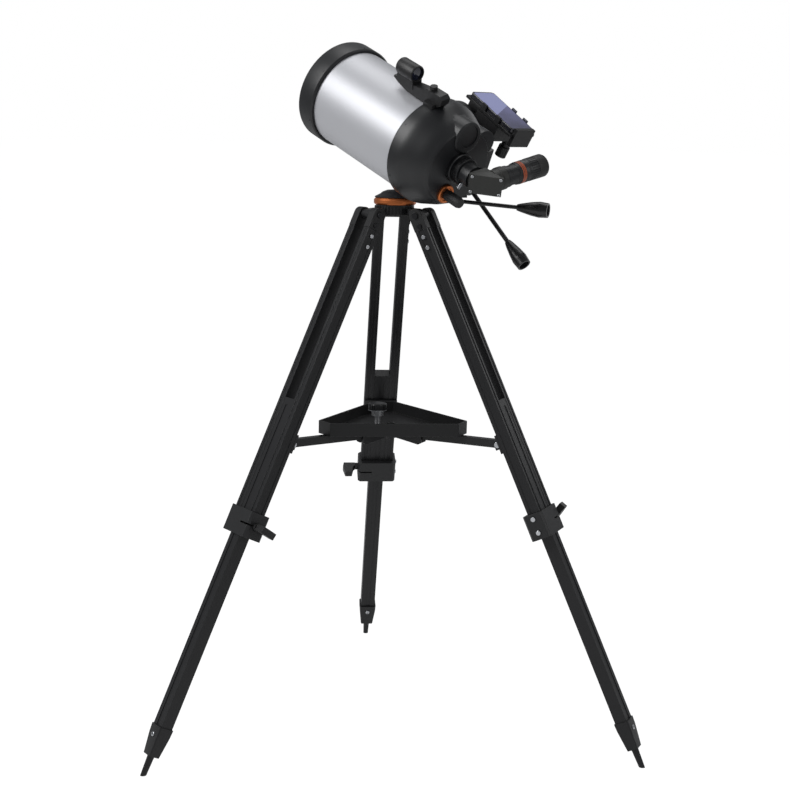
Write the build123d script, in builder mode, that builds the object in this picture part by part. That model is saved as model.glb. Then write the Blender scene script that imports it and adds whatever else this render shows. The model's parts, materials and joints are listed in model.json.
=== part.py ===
"""A Schmidt-Cassegrain telescope on a one-armed alt-azimuth mount and a folding tripod.

Millimetres, +Z up, +Y the way the tube points, +X the arm's side of the tube. Pieces are modelled about the
azimuth axis and saved about the middle of the feet's box on the floor, which is the row's origin.
The tube is stored tilted up, with its legs spread.
"""
import math
import os

from build123d import *

os.makedirs("parts", exist_ok=True)

# Tripod
LEG_NAMES = {"rear": 51.7, "left": 171.7, "right": 291.7}  # compass angle of each leg from +X
FOOT_R = 497.0          # radius of the circle through the feet
FOOT_X = [FOOT_R * math.cos(math.radians(a)) for a in LEG_NAMES.values()]
FOOT_Y = [FOOT_R * math.sin(math.radians(a)) for a in LEG_NAMES.values()]
TO_ROW = Location((-(max(FOOT_X) + min(FOOT_X)) / 2, -(max(FOOT_Y) + min(FOOT_Y)) / 2, 0))
PIVOT_R = 53.5          # where the leg bolts sit
PIVOT_Z = 939.0
RAIL_W = 17.0
RAIL_D = 23.0
RAIL_GAP = 29.0         # the inner leg runs here
RAIL_START = 27.0       # distances along a leg, down from its bolt
RAIL_END = 556.6
RAIL_WALL = 3.2
CLAMP_LEN = 46.0
CLAMP_W = 74.0
CLAMP_D = 38.0
INNER_START = 352.0
INNER_CAP = 4.0         # the closed top of an inner leg
INNER_W = 28.8
INNER_D = 22.0
SHOE_START = 951.0
SHOE_END = 1003.0
STUD_END = 1043.0       # cut off level with the floor
BOLT_R = 4.0
RUN = 0.06              # radial running clearance
ARM_PIVOT_R = 213.0     # spreader hinge on the leg
ARM_Z = 545.5
ARM_END_R = 62.0
ARM_W = 14.0
ARM_H = 14.0
BRIDGE = 4.0            # thickness of the plate that joins a leg's rails
LUG_HALF = 14.1         # half width of the hub's lugs
LUG_R = 9.0
LEVER_SPIN = {"rear": 90.0, "left": 80.0, "right": -120.0}  # where each clamp lever was left
TRAY_FLOOR = 553.3
TRAY_TOP = 576.5
TRAY_REACH = 142.0      # centre to each cut-off corner
TRAY_FACET = 19.0       # half width of a cut-off corner

# Mount
RING_R = 37.5
RING_LOW = 955.6
RING_TOP = 968.0
TUBE_H = 1090.0         # height of the altitude axis
TILT = 22.75            # stored altitude, degrees
ARM_IN = 122.0          # inner face of the arm
ARM_OUT = 152.0
HOUSING_R = 50.0
SHAFT_R = 12.0
WHEEL_R = 22.0          # azimuth worm wheel
ALT_WHEEL_R = 31.0
WORM_R = 6.6

# Tube, measured back along its axis from the altitude axis
TUBE_R = 87.0
CELL_R = 93.0
FRONT_END = -166.0
FRONT_SEAM = -126.0
REAR_SEAM = 87.0
BACK = 167.0
BARREL_R = 15.85        # the standard 31.75 mm eyepiece barrel
FINDER_R = 15.0
FINDER_UP = 126.0       # height of the finder's tube over the main axis
FOCUS_AT = (-12.0, -48.0)
BOSS_R = 28.0           # the dished boss on the back
TURN_Z = 231.3          # where the light turns in the diagonal
EYEPIECE_LIFT = 14.5     # degrees the eyepiece points above level

FROM_BASE = (Align.CENTER, Align.CENTER, Align.MIN)


def spot(base, x, y, z, toward=(0, 0, 1), across=(1, 0, 0)):
    """Gives the plane at a local point of another plane, with its z and x directions given locally."""
    start = base.from_local_coords(Vector(0, 0, 0))
    return Plane(
        origin=base.from_local_coords(Vector(x, y, z)),
        x_dir=base.from_local_coords(Vector(*across)) - start,
        z_dir=base.from_local_coords(Vector(*toward)) - start,
    )


def disc(at, radius, length, mode=Mode.ADD):
    """Adds or cuts a cylinder that stands on a plane."""
    with Locations(at):
        Cylinder(radius, length, align=FROM_BASE, mode=mode)


def block(at, width, depth, height, mode=Mode.ADD):
    """Adds or cuts a box that stands on a plane."""
    with Locations(at):
        Box(width, depth, height, align=FROM_BASE, mode=mode)


def slab(at, points, thick, mode=Mode.ADD, both=False):
    """Adds or cuts a flat polygon of the given thickness."""
    with BuildSketch(at) as outline:
        with BuildLine():
            Polyline(*points, close=True)
        make_face()
    extrude(outline.sketch, amount=thick, both=both, mode=mode)


def turned(at, points, mode=Mode.ADD):
    """Turns a closed outline of (radius, height) points about a plane's z axis."""
    side = Plane(origin=at.origin, x_dir=at.x_dir, z_dir=-at.y_dir)
    with BuildSketch(side) as outline:
        with BuildLine():
            Polyline(*points, close=True)
        make_face()
    revolve(outline.sketch, axis=Axis(at.origin, at.z_dir), mode=mode)


def grooves(at, radius, depth, count, length, width):
    """Cuts lengthwise grip grooves into a turned knob."""
    with Locations(at):
        with PolarLocations(radius, count):
            Box(2 * depth, width, length, align=FROM_BASE, mode=Mode.SUBTRACT)


def save(builder, name):
    """Moves a finished piece from the azimuth axis to the row's origin, labels it and writes its file."""
    piece = builder.part.moved(TO_ROW)
    piece.label = name
    export_step(piece, f"parts/{name}.step")


def leg_plane(angle):
    """Gives a leg's plane: origin on its bolt, z down the leg, y outward and x to its side."""
    a = math.radians(angle)
    out = Vector(math.cos(a), math.sin(a), 0)
    side = Vector(-math.sin(a), math.cos(a), 0)
    splay = math.atan2(FOOT_R - PIVOT_R, PIVOT_Z)
    down = out * math.sin(splay) - Vector(0, 0, math.cos(splay))
    return Plane(origin=out * PIVOT_R + Vector(0, 0, PIVOT_Z), x_dir=side, z_dir=down)


def radial_plane(angle, z=0.0):
    """Gives the upright plane that holds a leg: x is the radius, y is the height."""
    a = math.radians(angle)
    side = Vector(-math.sin(a), math.cos(a), 0)
    return Plane(origin=(0, 0, z), x_dir=(math.cos(a), math.sin(a), 0), z_dir=-side)


# ---------------------------------------------------------------- tripod head
with BuildPart() as tripod_hub:
    disc(Plane.XY.offset(939), 34, 16)
    for angle in LEG_NAMES.values():
        at = radial_plane(angle)
        slab(at, [(0, 941), (34, 940), (44, PIVOT_Z - LUG_R + 1), (PIVOT_R, PIVOT_Z - LUG_R),
                  (PIVOT_R, PIVOT_Z + LUG_R), (44, 949), (0, 952)], LUG_HALF, both=True)
        disc(spot(at, PIVOT_R, PIVOT_Z, -LUG_HALF), LUG_R, 2 * LUG_HALF)
        disc(spot(at, PIVOT_R, PIVOT_Z, -LUG_HALF - 1), BOLT_R + RUN, 2 * LUG_HALF + 2, Mode.SUBTRACT)
    with Locations((0, 0, 939)):
        with PolarLocations(34, 36):
            Box(2.4, 2.6, 14, align=FROM_BASE, mode=Mode.SUBTRACT)
    disc(Plane.XY.offset(955), 9 - RUN, 20)
    disc(Plane.XY.offset(965), WHEEL_R, 6)
save(tripod_hub, "tripod_hub")

# ---------------------------------------------------------------- legs
for name, angle in LEG_NAMES.items():
    leg = leg_plane(angle)
    upright = radial_plane(angle)
    offset = (RAIL_GAP + RAIL_W) / 2
    hinge = leg.to_local_coords(upright.from_local_coords(Vector(ARM_PIVOT_R, ARM_Z, 0)))
    with BuildPart() as leg_rails:
        for s in (-offset, offset):
            at = spot(leg, s, 0, RAIL_START)
            block(at, RAIL_W, RAIL_D, RAIL_END - RAIL_START)
            for face in (-RAIL_D / 2, RAIL_D / 2):
                block(spot(leg, s, face, RAIL_START), 5.0, 2.4, RAIL_END - RAIL_START, Mode.SUBTRACT)
            outer = math.copysign(offset + RAIL_W / 2, s)
            block(spot(leg, outer, 0, RAIL_START), 2.4, 9.0, RAIL_END - RAIL_START, Mode.SUBTRACT)
            block(at, RAIL_W - 2 * RAIL_WALL, RAIL_D - 2 * RAIL_WALL, RAIL_END - RAIL_START, Mode.SUBTRACT)
    save(leg_rails, f"leg_rails_{name}")

    # The two rounded tops and the bridge that carries the spreader arm.
    with BuildPart() as leg_fittings:
        for s in (-offset, offset):
            turn = spot(leg, s - RAIL_W / 2, 0, 0, toward=(1, 0, 0), across=(0, 0, 1))
            disc(turn, RAIL_D / 2 + 0.6, RAIL_W)
            block(spot(leg, s, 0, 0), RAIL_W, RAIL_D + 1.2, RAIL_START)
            disc(spot(turn, 0, 0, -1), BOLT_R + RUN, RAIL_W + 2, Mode.SUBTRACT)
        block(spot(leg, 0, -RAIL_D / 2 - BRIDGE / 2, hinge.Z - 17), 2 * offset + RAIL_W, BRIDGE, 34)
        for s in (-1, 1):
            block(spot(leg, s * (ARM_W / 2 + 2.3), (hinge.Y - 7 - RAIL_D / 2 - BRIDGE) / 2, hinge.Z - 9),
                  4, -hinge.Y + 7 - RAIL_D / 2 - BRIDGE, 18)
        disc(spot(leg, -13, hinge.Y, hinge.Z, toward=(1, 0, 0), across=(0, 0, 1)), 3 + RUN, 26, Mode.SUBTRACT)
    save(leg_fittings, f"leg_fittings_{name}")

    with BuildPart() as leg_clamp:
        block(spot(leg, 0, -2, RAIL_END), CLAMP_W, CLAMP_D, CLAMP_LEN)
        chamfer(leg_clamp.edges().filter_by(Axis(leg.origin, leg.z_dir)), 4)
        block(spot(leg, 0, 0, RAIL_END), INNER_W + 0.2, INNER_D + 0.2, CLAMP_LEN, Mode.SUBTRACT)
        block(spot(leg, 25, 0, RAIL_END + CLAMP_LEN / 2 - 1.5), 30, CLAMP_D + 8, 3, Mode.SUBTRACT)
        disc(spot(leg, CLAMP_W / 2, 0, RAIL_END + CLAMP_LEN / 2, toward=(-1, 0, 0), across=(0, 0, 1)),
             4 + RUN, 12, Mode.SUBTRACT)
    save(leg_clamp, f"leg_clamp_{name}")

    # A one-winged screw on the side of the clamp.
    with BuildPart() as clamp_lever:
        at = spot(leg, CLAMP_W / 2 + 0.3, 0, RAIL_END + CLAMP_LEN / 2, toward=(1, 0, 0), across=(0, 0, 1))
        disc(spot(at, 0, 0, -10), 4, 22)
        with BuildSketch(at) as hexagon:
            RegularPolygon(7.5, 6)
        extrude(hexagon.sketch, amount=6)
        spin = math.radians(LEVER_SPIN[name])
        wing = spot(at, 0, 0, 0, toward=(-math.sin(spin), math.cos(spin), 0),
                    across=(math.cos(spin), math.sin(spin), 0))
        slab(wing, [(-4.5, -6), (4.5, -6), (8, -9), (26, -13), (26, -26), (6, -30), (-4.5, -28)], 6, both=True)
    save(clamp_lever, f"clamp_lever_{name}")

    with BuildPart() as inner_leg:
        block(spot(leg, 0, 0, INNER_START), INNER_W, INNER_D, SHOE_START + 10 - INNER_START)
        for face in (-INNER_D / 2, INNER_D / 2):
            block(spot(leg, 0, face, INNER_START + 12), 9, 2, SHOE_START - INNER_START - 12, Mode.SUBTRACT)
        block(spot(leg, 0, 0, INNER_START + INNER_CAP), INNER_W - 2 * RAIL_WALL, INNER_D - 2 * RAIL_WALL,
              SHOE_START - INNER_START - INNER_CAP, Mode.SUBTRACT)
        with BuildSketch(spot(leg, 0, 0, SHOE_START)) as collar:
            RectangleRounded(34, 27, 3)
        with BuildSketch(spot(leg, 0, 0, SHOE_START + 14)) as waist:
            RectangleRounded(33, 26, 3)
        with BuildSketch(spot(leg, 0, 0, SHOE_END)) as tip:
            RectangleRounded(25, 20, 3)
        loft(Sketch() + [collar.sketch, waist.sketch], ruled=True)
        loft(Sketch() + [waist.sketch, tip.sketch], ruled=True)
        turned(leg, [(0, SHOE_END - 4), (6.4, SHOE_END - 4), (6.2, SHOE_END + 2), (4.8, STUD_END), (0, STUD_END)])
        foot = upright.from_local_coords(Vector(FOOT_R, 0, 0))
        block(Plane(origin=foot).offset(-30), 80, 80, 30, Mode.SUBTRACT)
    save(inner_leg, f"inner_leg_{name}")

    with BuildPart() as leg_bolts:
        at = spot(leg, -offset - RAIL_W / 2 - 3, 0, 0, toward=(1, 0, 0), across=(0, 0, 1))
        disc(at, BOLT_R, 2 * offset + RAIL_W + 6)
        disc(at, 5.5, 3)
        disc(spot(at, 0, 0, 2 * offset + RAIL_W + 3), 5.5, 3)
        disc(spot(leg, -14, hinge.Y, hinge.Z, toward=(1, 0, 0), across=(0, 0, 1)), 3, 28)
        for s in (-1, 1):
            disc(spot(leg, s * 11.3, hinge.Y, hinge.Z, toward=(s, 0, 0), across=(0, 0, 1)), 5.5, 3.2)
            side = s * (offset + RAIL_W / 2)
            disc(spot(leg, side, 0, 20, toward=(s, 0, 0), across=(0, 0, 1)), 4.5, 2.4)
            for down in (40, 60):
                disc(spot(leg, side - s * 1.2, 0, down, toward=(s, 0, 0), across=(0, 0, 1)), 3.6, 3.4)
        for down in (RAIL_END + 9, RAIL_END + 34):
            disc(spot(leg, -CLAMP_W / 2, -2, down, toward=(-1, 0, 0), across=(0, 0, 1)), 4.2, 2.8)
    save(leg_bolts, f"leg_bolts_{name}")

    with BuildPart() as spreader_arm:
        turn = spot(upright, ARM_PIVOT_R, ARM_Z, -ARM_W / 2)
        disc(turn, ARM_H / 2, ARM_W)
        slab(upright, [(ARM_END_R, ARM_Z - ARM_H / 2), (ARM_PIVOT_R, ARM_Z - ARM_H / 2),
                       (ARM_PIVOT_R, ARM_Z + ARM_H / 2), (ARM_END_R, ARM_Z + ARM_H / 2)], ARM_W / 2, both=True)
        slab(upright, [(ARM_END_R + 22, ARM_Z - ARM_H / 2 + 2.5), (ARM_PIVOT_R - 14, ARM_Z - ARM_H / 2 + 2.5),
                       (ARM_PIVOT_R - 14, ARM_Z - ARM_H / 2), (ARM_END_R + 22, ARM_Z - ARM_H / 2)], 4.5,
             Mode.SUBTRACT, both=True)
        disc(spot(turn, 0, 0, -1), 3 + RUN, ARM_W + 2, Mode.SUBTRACT)
    save(spreader_arm, f"spreader_arm_{name}")

# ---------------------------------------------------------------- spreader centre and tray
with BuildPart() as center_bracket:
    disc(Plane.XY.offset(ARM_Z - ARM_H / 2), 24, TRAY_FLOOR - 0.3 - ARM_Z + ARM_H / 2)
    for angle in LEG_NAMES.values():
        at = radial_plane(angle)
        for s in (-1, 1):
            slab(spot(at, 0, 0, s * (ARM_W / 2 + 2.3)), [(14, ARM_Z - 7), (60, ARM_Z - 16), (66, ARM_Z - 13),
                 (66, TRAY_FLOOR - 0.3), (14, TRAY_FLOOR - 0.3)], 1.9, both=True)
    disc(Plane.XY.offset(TRAY_FLOOR - 0.3), 7, 11)
    disc(Plane.XY.offset(ARM_Z - ARM_H / 2 - 5), 8, 5.5)
    fillet(center_bracket.edges().filter_by(GeomType.CIRCLE).sort_by(Axis.Z)[-1:], 2)
save(center_bracket, "center_bracket")


def cut_triangle(reach, facet, shrink=0.0):
    """Gives the corners of a triangle whose tips are cut off, pointing at the three legs."""
    points = []
    for angle in LEG_NAMES.values():
        for side in (-1, 1):
            wide = facet - shrink * math.tan(math.radians(30))
            out = reach - shrink
            a = math.radians(angle)
            points.append((out * math.cos(a) - side * wide * math.sin(a),
                           out * math.sin(a) + side * wide * math.cos(a)))
    return points


KNOB_AT = (-17.4, 16.5)
with BuildPart() as tray:
    slab(Plane.XY.offset(TRAY_FLOOR), cut_triangle(TRAY_REACH, TRAY_FACET), TRAY_TOP - TRAY_FLOOR)
    slab(Plane.XY.offset(TRAY_FLOOR + 3), cut_triangle(TRAY_REACH, TRAY_FACET, 2.8), TRAY_TOP, Mode.SUBTRACT)
    with Locations((KNOB_AT[0], KNOB_AT[1], TRAY_FLOOR)):
        Cylinder(9, 8, align=FROM_BASE)
    disc(Plane.XY.offset(TRAY_FLOOR - 1), 7.3, 8, Mode.SUBTRACT)
    with Locations((KNOB_AT[0], KNOB_AT[1], TRAY_FLOOR + 0.7)):
        Cylinder(5.5 + RUN, 20, align=FROM_BASE, mode=Mode.SUBTRACT)
save(tray, "tray")

with BuildPart() as tray_knob:
    at = Plane(origin=(KNOB_AT[0], KNOB_AT[1], 0))
    disc(at.offset(TRAY_FLOOR + 1), 5.5, 24)
    disc(at.offset(575), 11, 11)
    disc(at.offset(585), 17, 13)
    fillet(tray_knob.edges().filter_by(GeomType.CIRCLE).sort_by(Axis.Z)[-1:], 3)
    grooves(at.offset(583), 17, 1.0, 24, 16, 1.8)
save(tray_knob, "tray_knob")

# ---------------------------------------------------------------- mount
tilt = math.radians(TILT)
TUBE = Plane(origin=(0, 0, TUBE_H), x_dir=(1, 0, 0), z_dir=(0, -math.cos(tilt), -math.sin(tilt)))
WORM_SIDE = Plane(origin=(0, 0, 0), x_dir=(0.893, 0.45, 0), z_dir=(0, 0, 1))  # x points at the azimuth worm
AZ_ROD = Plane(origin=(43.0, -18.6, 968.6), x_dir=(0.893, 0.45, 0), z_dir=(0.449, -0.891, -0.064))
ALT_ROD = Plane(origin=(132, -20, 1017.5), x_dir=(1, 0, 0), z_dir=(0, -0.732, -0.681))
SIDE = Plane(origin=(0, 0, TUBE_H), x_dir=(0, 1, 0), z_dir=(1, 0, 0))  # looks along the altitude axis

with BuildPart() as azimuth_ring:
    turned(Plane.XY, [(29, RING_LOW), (RING_R - 2, RING_LOW), (RING_R, RING_LOW + 2.5), (RING_R, RING_TOP - 4),
                      (RING_R - 3.5, RING_TOP), (29, RING_TOP)])
    block(spot(WORM_SIDE, 35, 0, 960), 30, 50, 20, Mode.SUBTRACT)
save(azimuth_ring, "azimuth_ring")

with BuildPart() as mount_arm:
    turned(Plane.XY, [(0, RING_TOP), (36, RING_TOP), (36, RING_TOP + 1.5), (27, 974), (22, 978), (14, 981), (0, 982)])
    block(spot(WORM_SIDE, 31, 0, 960), 22, 50, 19)
    with Locations((94, 0, 966)):
        Box(116, 44, 18, align=FROM_BASE)
    slab(SIDE.offset(ARM_IN), [(-30, 966 - TUBE_H), (30, 966 - TUBE_H), (34, -50), (44, 0), (-44, 0), (-34, -50)],
         ARM_OUT - ARM_IN)
    disc(SIDE.offset(ARM_IN), HOUSING_R, ARM_OUT - ARM_IN)
    disc(spot(ALT_ROD, 0, 0, -6), 11, 62)
    disc(SIDE.offset(ARM_IN - 1), SHAFT_R + RUN, ARM_OUT - ARM_IN + 2, Mode.SUBTRACT)
    disc(SIDE.offset(ARM_IN + 5), ALT_WHEEL_R + 0.6, 11, Mode.SUBTRACT)
    disc(spot(ALT_ROD, 0, 0, -20), WORM_R + 0.5, 54, Mode.SUBTRACT)
    disc(spot(ALT_ROD, 0, 0, 30), 4 + RUN, 30, Mode.SUBTRACT)
    disc(Plane.XY.offset(950), 9, 26.5, Mode.SUBTRACT)
    disc(Plane.XY.offset(963), WHEEL_R + 1, 9, Mode.SUBTRACT)
    disc(spot(AZ_ROD, 0, 0, -54), WORM_R + 0.6, 41, Mode.SUBTRACT)
    disc(spot(AZ_ROD, 0, 0, -16), 3.5 + RUN, 50, Mode.SUBTRACT)
save(mount_arm, "mount_arm")


def control(rod, start, worm, radius, grip_start):
    """Builds a slow-motion rod with its worm inside the mount."""
    with BuildPart() as made:
        disc(spot(rod, 0, 0, start), WORM_R, worm)
        disc(spot(rod, 0, 0, start), radius, grip_start - start + 20)
        grooves(spot(rod, 0, 0, start + 2), WORM_R, 0.5, 16, worm - 4, 0.8)
    return made


def grip(rod, hole, start, end, swell):
    """Builds a bell-shaped grip that is hollow at its end."""
    long = end - start
    with BuildPart() as made:
        turned(spot(rod, 0, 0, start), [(hole, 0), (5.5, 0), (7.5, 0.12 * long), (swell - 2.2, 0.45 * long),
               (swell, 0.72 * long), (swell - 1.2, long), (swell - 4, long), (swell - 5, long - 7), (hole, long - 7)])
        grooves(spot(rod, 0, 0, start + 0.4 * long), swell, 0.9, 8, 0.45 * long, 3)
    return made


azimuth_control = control(AZ_ROD, -50, 34, 3.5, 182)
save(azimuth_control, "azimuth_control")
azimuth_grip = grip(AZ_ROD, 3.5, 180, 236, 14)
save(azimuth_grip, "azimuth_grip")
altitude_control = control(ALT_ROD, -14, 42, 4.0, 182)
save(altitude_control, "altitude_control")
altitude_grip = grip(ALT_ROD, 4.0, 180, 236, 13.5)
save(altitude_grip, "altitude_grip")

# The altitude shaft carries the worm wheel and the saddle that grips the tube's bar.
with BuildPart() as altitude_saddle:
    disc(SIDE.offset(112), SHAFT_R, 50)
    disc(SIDE.offset(ARM_IN + 6), ALT_WHEEL_R, 8)
    slab(spot(TUBE, 0, 0, -62), [(97, -34), (121, -34), (121, 34), (97, 34), (97, 17.6), (105.8, 21.2),
                                 (105.8, -21.2), (97, -17.6)], 124)
    disc(spot(TUBE, 101.5, 28, 0, toward=(0, 1, 0)), 4 + RUN, 8, Mode.SUBTRACT)
save(altitude_saddle, "altitude_saddle")

with BuildPart() as saddle_knob:
    at = spot(TUBE, 101.5, 30, 0, toward=(0, 1, 0))
    disc(at, 4, 20)
    disc(spot(at, 0, 0, 9), 11, 16)
    grooves(spot(at, 0, 0, 9), 11, 1.0, 12, 16, 2.5)
save(saddle_knob, "saddle_knob")

# ---------------------------------------------------------------- tube
with BuildPart() as dovetail_bar:
    slab(spot(TUBE, 0, 0, -140), [(93.2, -16), (105.6, -21), (105.6, 21), (93.2, 16)], 280)
    for z, long in ((-140, 11), (90, 18)):
        block(spot(TUBE, 92, 0, z), 8, 24, long)
    disc(spot(TUBE, 0, 0, -170), CELL_R + 0.05, 340, Mode.SUBTRACT)
save(dovetail_bar, "dovetail_bar")

with BuildPart() as tube:
    disc(spot(TUBE, 0, 0, FRONT_SEAM), TUBE_R, REAR_SEAM - FRONT_SEAM)
    disc(spot(TUBE, 0, 0, FRONT_SEAM), TUBE_R - 2, REAR_SEAM - FRONT_SEAM, Mode.SUBTRACT)
save(tube, "tube")

with BuildPart() as front_cell:
    turned(TUBE, [(76, FRONT_END), (CELL_R - 4, FRONT_END), (CELL_R - 1, FRONT_END + 1.2), (CELL_R, FRONT_END + 4),
                  (CELL_R, FRONT_SEAM - 3), (CELL_R - 2, FRONT_SEAM), (TUBE_R - 2, FRONT_SEAM), (76, FRONT_SEAM - 20),
                  (76, FRONT_END + 14), (79.05, FRONT_END + 14), (79.05, FRONT_END + 8.9), (75, FRONT_END + 8.9),
                  (77, FRONT_END + 1)])
save(front_cell, "front_cell")

with BuildPart() as corrector_plate:
    turned(TUBE, [(22, FRONT_END + 9), (79, FRONT_END + 9), (79, FRONT_END + 13.9), (22, FRONT_END + 13.9)])
save(corrector_plate, "corrector_plate")

with BuildPart() as secondary_mirror:
    turned(TUBE, [(0, FRONT_END + 3), (24, FRONT_END + 3), (28, FRONT_END + 5), (28, FRONT_END + 8.9),
                  (21.9, FRONT_END + 8.9), (21.9, FRONT_END + 14), (27, FRONT_END + 14), (27, FRONT_END + 42),
                  (24, FRONT_END + 42), (24, FRONT_END + 34), (0, FRONT_END + 34)])
save(secondary_mirror, "secondary_mirror")

with BuildPart() as rear_cell:
    turned(TUBE, [(0, REAR_SEAM), (CELL_R - 2, REAR_SEAM), (CELL_R, REAR_SEAM + 2.5), (CELL_R, 108), (92, 114),
                  (90, 120), (78, 148), (74, 155), (70, 161), (68, BACK - 2), (66, BACK), (0, BACK)])
    disc(spot(TUBE, -3, 55, BACK - 29), BOSS_R, 33)
    disc(spot(TUBE, 46, 42, BACK - 39), 24, 36)
    fillet(rear_cell.edges().filter_by(GeomType.CIRCLE).filter_by(lambda e: abs(e.radius - BOSS_R) < 0.01)
           .sort_by(Axis(TUBE.origin, TUBE.z_dir))[-1:], 3)
    disc(spot(TUBE, -3, 58, BACK + 2), 20, 10, Mode.SUBTRACT)
    turned(TUBE, [(0, REAR_SEAM - 1), (84, REAR_SEAM - 1), (84, 116), (74, 146), (66, BACK - 6),
                  (0, BACK - 6)], Mode.SUBTRACT)
    disc(spot(TUBE, 0, 0, BACK - 8), 20, 16, Mode.SUBTRACT)
    disc(spot(TUBE, FOCUS_AT[0], FOCUS_AT[1], BACK - 8), 3 + RUN, 16, Mode.SUBTRACT)
save(rear_cell, "rear_cell")

with BuildPart() as baffle_tube:
    turned(TUBE, [(13.5, 10), (16, 10), (16, BACK - 14), (26, BACK - 14), (26, BACK - 6), (20, BACK - 6),
                  (20, BACK), (13.5, BACK)])
save(baffle_tube, "baffle_tube")

with BuildPart() as primary_mirror:
    turned(TUBE, [(16.1, 100), (19, 100), (19, 116), (77, 112), (77, 126), (40, 136), (19, 136), (19, 145), (16.1, 145)])
    disc(spot(TUBE, FOCUS_AT[0], FOCUS_AT[1], 108), 3.5, 40, Mode.SUBTRACT)
save(primary_mirror, "primary_mirror")

with BuildPart() as focuser_bezel:
    at = spot(TUBE, FOCUS_AT[0], FOCUS_AT[1], BACK)
    turned(at, [(3.2, 0), (17, 0), (17, 3.5), (15.5, 5), (11.5, 5), (11, 3), (3.2, 3)])
save(focuser_bezel, "focuser_bezel")

with BuildPart() as focus_knob:
    disc(spot(at, 0, 0, -45), 3, 60)
    turned(at, [(0, 3.4), (8.5, 3.4), (9.5, 8), (9.8, 36), (8, 41), (0, 41.5)])
    grooves(spot(at, 0, 0, 9), 9.8, 0.8, 14, 28, 1.8)
save(focus_knob, "focus_knob")

with BuildPart() as visual_back:
    turned(TUBE, [(16.6, BACK), (27, BACK), (27, BACK + 6), (25.5, BACK + 7), (22, BACK + 7), (22, BACK + 12),
                  (24.5, BACK + 13), (24.5, BACK + 21), (23.5, BACK + 22), (20, BACK + 22), (20, BACK + 42),
                  (BARREL_R + RUN, BACK + 42), (BARREL_R + RUN, BACK + 4), (16.6, BACK + 4)])
    grooves(spot(TUBE, 0, 0, BACK + 13), 24.5, 0.7, 30, 9, 2)
    screw_at = spot(TUBE, 0, 0, BACK + 25.4, toward=(-0.45, -0.893, 0), across=(0, 0, 1))
    disc(spot(screw_at, 0, 0, 10), 2 + RUN, 15, Mode.SUBTRACT)
save(visual_back, "visual_back")


def thumbscrew(at, start, head, length, radius):
    """Builds a small knurled screw that points along a plane's z axis."""
    with BuildPart() as made:
        disc(spot(at, 0, 0, start), 2, head - start + 1)
        disc(spot(at, 0, 0, head), radius, length)
        grooves(spot(at, 0, 0, head), radius, 0.4, 16, length, 0.8)
    return made


visual_back_screw = thumbscrew(screw_at, BARREL_R + 0.4, 21, 9, 3.2)
save(visual_back_screw, "visual_back_screw")

# ---------------------------------------------------------------- diagonal and eyepiece
lift = math.radians(EYEPIECE_LIFT)
DIAGONAL = spot(TUBE, 0, 0, TURN_Z, across=(math.cos(lift), math.sin(lift), 0))
OUTLET = spot(DIAGONAL, 0, 0, 0, toward=(1, 0, 0), across=(0, 0, 1))
PRISM = spot(DIAGONAL, 0, 0, 0, toward=(0, 1, 0), across=(1, 0, 0))
HALF = 19.0

with BuildPart() as diagonal_body:
    slab(PRISM, [(-HALF + 1, HALF - 1), (HALF, HALF - 1), (HALF, -HALF + 1), (HALF - 3, -HALF - 1),
                 (-HALF - 1, HALF - 3)], 17, both=True)
    slab(PRISM, [(-HALF + 4, HALF - 4), (HALF - 3, HALF - 4), (HALF - 3, -HALF + 3)], 14.5, Mode.SUBTRACT, both=True)
    disc(spot(DIAGONAL, 0, 0, 5 - HALF - 28), BARREL_R, 26)
    disc(spot(DIAGONAL, 0, 0, -60), 14, 60, Mode.SUBTRACT)
    turned(OUTLET, [(14, HALF - 1), (18.5, HALF - 1), (18.5, HALF + 11), (20, HALF + 13), (20, HALF + 23),
                    (19, HALF + 24), (BARREL_R + RUN, HALF + 24), (BARREL_R + RUN, HALF + 2), (14, HALF + 2)])
    disc(spot(OUTLET, 0, 0, 4), 14, 20, Mode.SUBTRACT)
    plate = spot(DIAGONAL, 0, 0, 0, toward=(-1, 0, 1), across=(1, 0, 1))
    block(spot(plate, 4, 0, 2.6), 56, 35, 3.6)
    for x in (-20, 28):
        for y in (-14, 14):
            disc(spot(plate, x, y, 6), 2.2, 1.6)
    outlet_screw = spot(OUTLET, 0, 0, HALF + 18, toward=(0, 1, 0))
    disc(spot(outlet_screw, 0, 0, 10), 2 + RUN, 15, Mode.SUBTRACT)
save(diagonal_body, "diagonal_body")

with BuildPart() as diagonal_mirror:
    block(spot(plate, 0, 0, -3), 34, 28, 3)
save(diagonal_mirror, "diagonal_mirror")

diagonal_screw = thumbscrew(outlet_screw, BARREL_R + 0.4, 21.5, 8, 4)
save(diagonal_screw, "diagonal_screw")

with BuildPart() as eyepiece:
    turned(OUTLET, [(13, HALF + 4), (BARREL_R, HALF + 4), (BARREL_R, HALF + 25), (18.5, HALF + 25), (18.5, 52), (17, 54),
                    (17, 68), (18.8, 70), (18.8, 74), (16.8, 74), (16.8, 92), (18.8, 92), (18.8, 96), (19.6, 98),
                    (19.6, 114), (14.5, 114), (14.5, 108), (0, 109.5), (0, 100), (13, 100)])
    grooves(spot(OUTLET, 0, 0, 97), 19.6, 0.6, 30, 16, 1.6)
save(eyepiece, "eyepiece")

with BuildPart() as eyepiece_band:
    turned(OUTLET, [(16.86, 74.1), (19.3, 74.1), (19.3, 80), (18.7, 81), (18.7, 85), (19.3, 86), (19.3, 91.9),
                    (16.86, 91.9)])
save(eyepiece_band, "eyepiece_band")

with BuildPart() as eyecup:
    turned(OUTLET, [(14.6, 114), (19.4, 114), (19.8, 118), (19.8, 132), (18.3, 135), (16.5, 135), (15.4, 128),
                    (14.6, 121)])
save(eyecup, "eyecup")

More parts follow.
